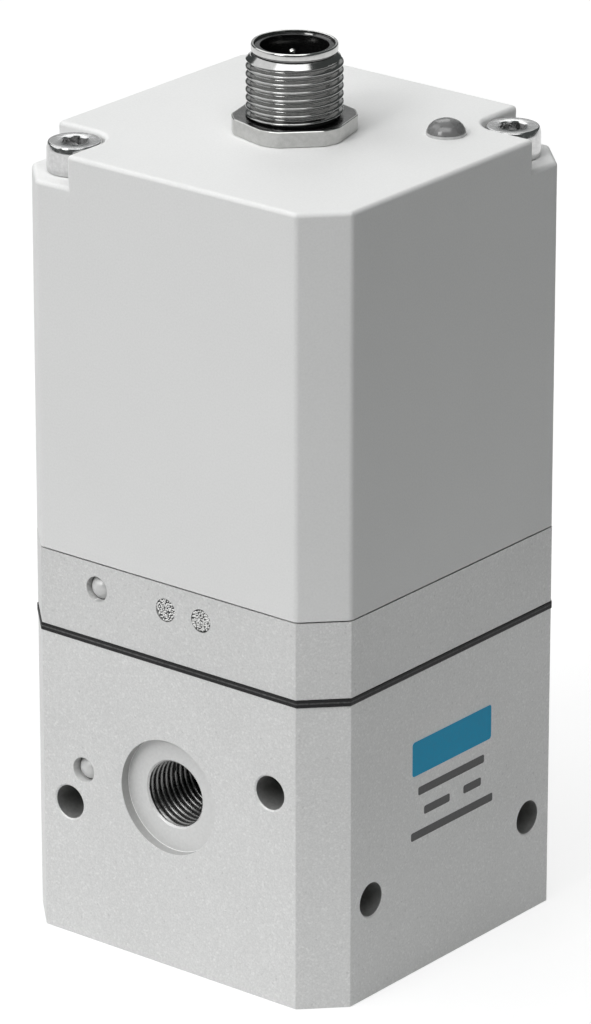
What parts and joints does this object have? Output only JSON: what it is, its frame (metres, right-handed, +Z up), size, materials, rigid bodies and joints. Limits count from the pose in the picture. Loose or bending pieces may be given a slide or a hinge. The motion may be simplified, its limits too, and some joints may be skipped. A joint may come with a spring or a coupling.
{
  "type": "electro-pneumatic regulator",
  "caption": "Square block pressure regulator with threaded air ports, a pilot plate, a grey electronics hood and a round threaded connector, a diaphragm-driven poppet inside.",
  "frame": {"origin": "middle of the underside of the valve body", "axes": "+Z up through the connector, -Y out of the face with the supply port, +X out of the plain face with the cross holes"},
  "size_m": [0.05, 0.05, 0.1144],
  "materials": {
    "hood_plastic": "fine matt moulded surface",
    "anodised_aluminium": "blasted and clear anodised",
    "black_rubber": "matt",
    "nickel_plated_brass": "nickel plated",
    "brass": "turned",
    "zinc_plated_steel": "zinc plated",
    "magnetic_steel": "ground",
    "bearing_steel": "polished ball",
    "sintered_steel": "porous",
    "black_plastic": "moulded",
    "grey_plastic": "moulded",
    "copper_wire": "enamelled winding",
    "circuit_board": "solder mask",
    "red_insulation": "extruded",
    "blue_sleeve": "shrunk sleeve",
    "silver_plated_brass": "silver plated",
    "lamp_lens": "diffuse clear lens"
  },
  "bodies": {
    "housing": {"valve_body": "anodised_aluminium", "bottom_plug": "anodised_aluminium", "plug_o_ring": "black_rubber", "stem_o_ring": "black_rubber", "poppet_spring": "zinc_plated_steel", "diaphragm": "black_rubber", "pilot_plate": "anodised_aluminium", "plate_screws": "zinc_plated_steel", "ball_plugs": "bearing_steel", "vent_filters": "sintered_steel", "valve_screws": "zinc_plated_steel", "coil_leads": "red_insulation", "pressure_sensor": "magnetic_steel", "sensor_o_ring": "black_rubber", "main_board": "circuit_board", "controller_chip": "black_plastic", "driver_chips": "black_plastic", "capacitor": "blue_sleeve", "connector_board": "circuit_board", "board_header": "black_plastic", "hood_gasket": "black_rubber", "hood": "hood_plastic", "hood_screws": "zinc_plated_steel", "connector_shell": "nickel_plated_brass", "connector_insert": "black_plastic", "connector_pins": "silver_plated_brass", "connector_o_ring": "black_rubber", "connector_nut": "nickel_plated_brass", "status_lamp": "lamp_lens", "supply_valve_base": "grey_plastic", "supply_valve_yoke": "magnetic_steel", "supply_valve_bobbin": "black_plastic", "supply_valve_winding": "copper_wire", "supply_valve_core": "magnetic_steel", "supply_valve_spring": "zinc_plated_steel", "vent_valve_base": "grey_plastic", "vent_valve_yoke": "magnetic_steel", "vent_valve_bobbin": "black_plastic", "vent_valve_winding": "copper_wire", "vent_valve_core": "magnetic_steel", "vent_valve_spring": "zinc_plated_steel"},
    "poppet": {"poppet": "brass", "poppet_seal": "black_rubber"},
    "piston": {"piston": "brass", "piston_washer": "anodised_aluminium", "piston_nut": "zinc_plated_steel"},
    "supply_plunger": {"supply_valve_plunger": "magnetic_steel", "supply_valve_seal": "black_rubber"},
    "vent_plunger": {"vent_valve_plunger": "magnetic_steel", "vent_valve_seal": "black_rubber"}
  },
  "joints": [
    {"name": "poppet_slide", "type": "slide", "parent": "housing", "child": "poppet", "axis": [0, 0, 1], "range_m": [-0.0012, 0], "stiffness_N_per_m": 1500, "springref_m": 0.003, "deforming": ["poppet_spring", "diaphragm"]},
    {"name": "piston_lift", "type": "slide", "parent": "poppet", "child": "piston", "axis": [0, 0, 1], "range_m": [0, 0.0008], "deforming": ["diaphragm"]},
    {"name": "supply_plunger_slide", "type": "slide", "parent": "housing", "child": "supply_plunger", "axis": [0, 0, 1], "range_m": [0, 0.0005], "stiffness_N_per_m": 600, "springref_m": -0.002, "deforming": ["supply_valve_spring"]},
    {"name": "vent_plunger_slide", "type": "slide", "parent": "housing", "child": "vent_plunger", "axis": [0, 0, 1], "range_m": [0, 0.0005], "stiffness_N_per_m": 600, "springref_m": -0.002, "deforming": ["vent_valve_spring"]}
  ]
}
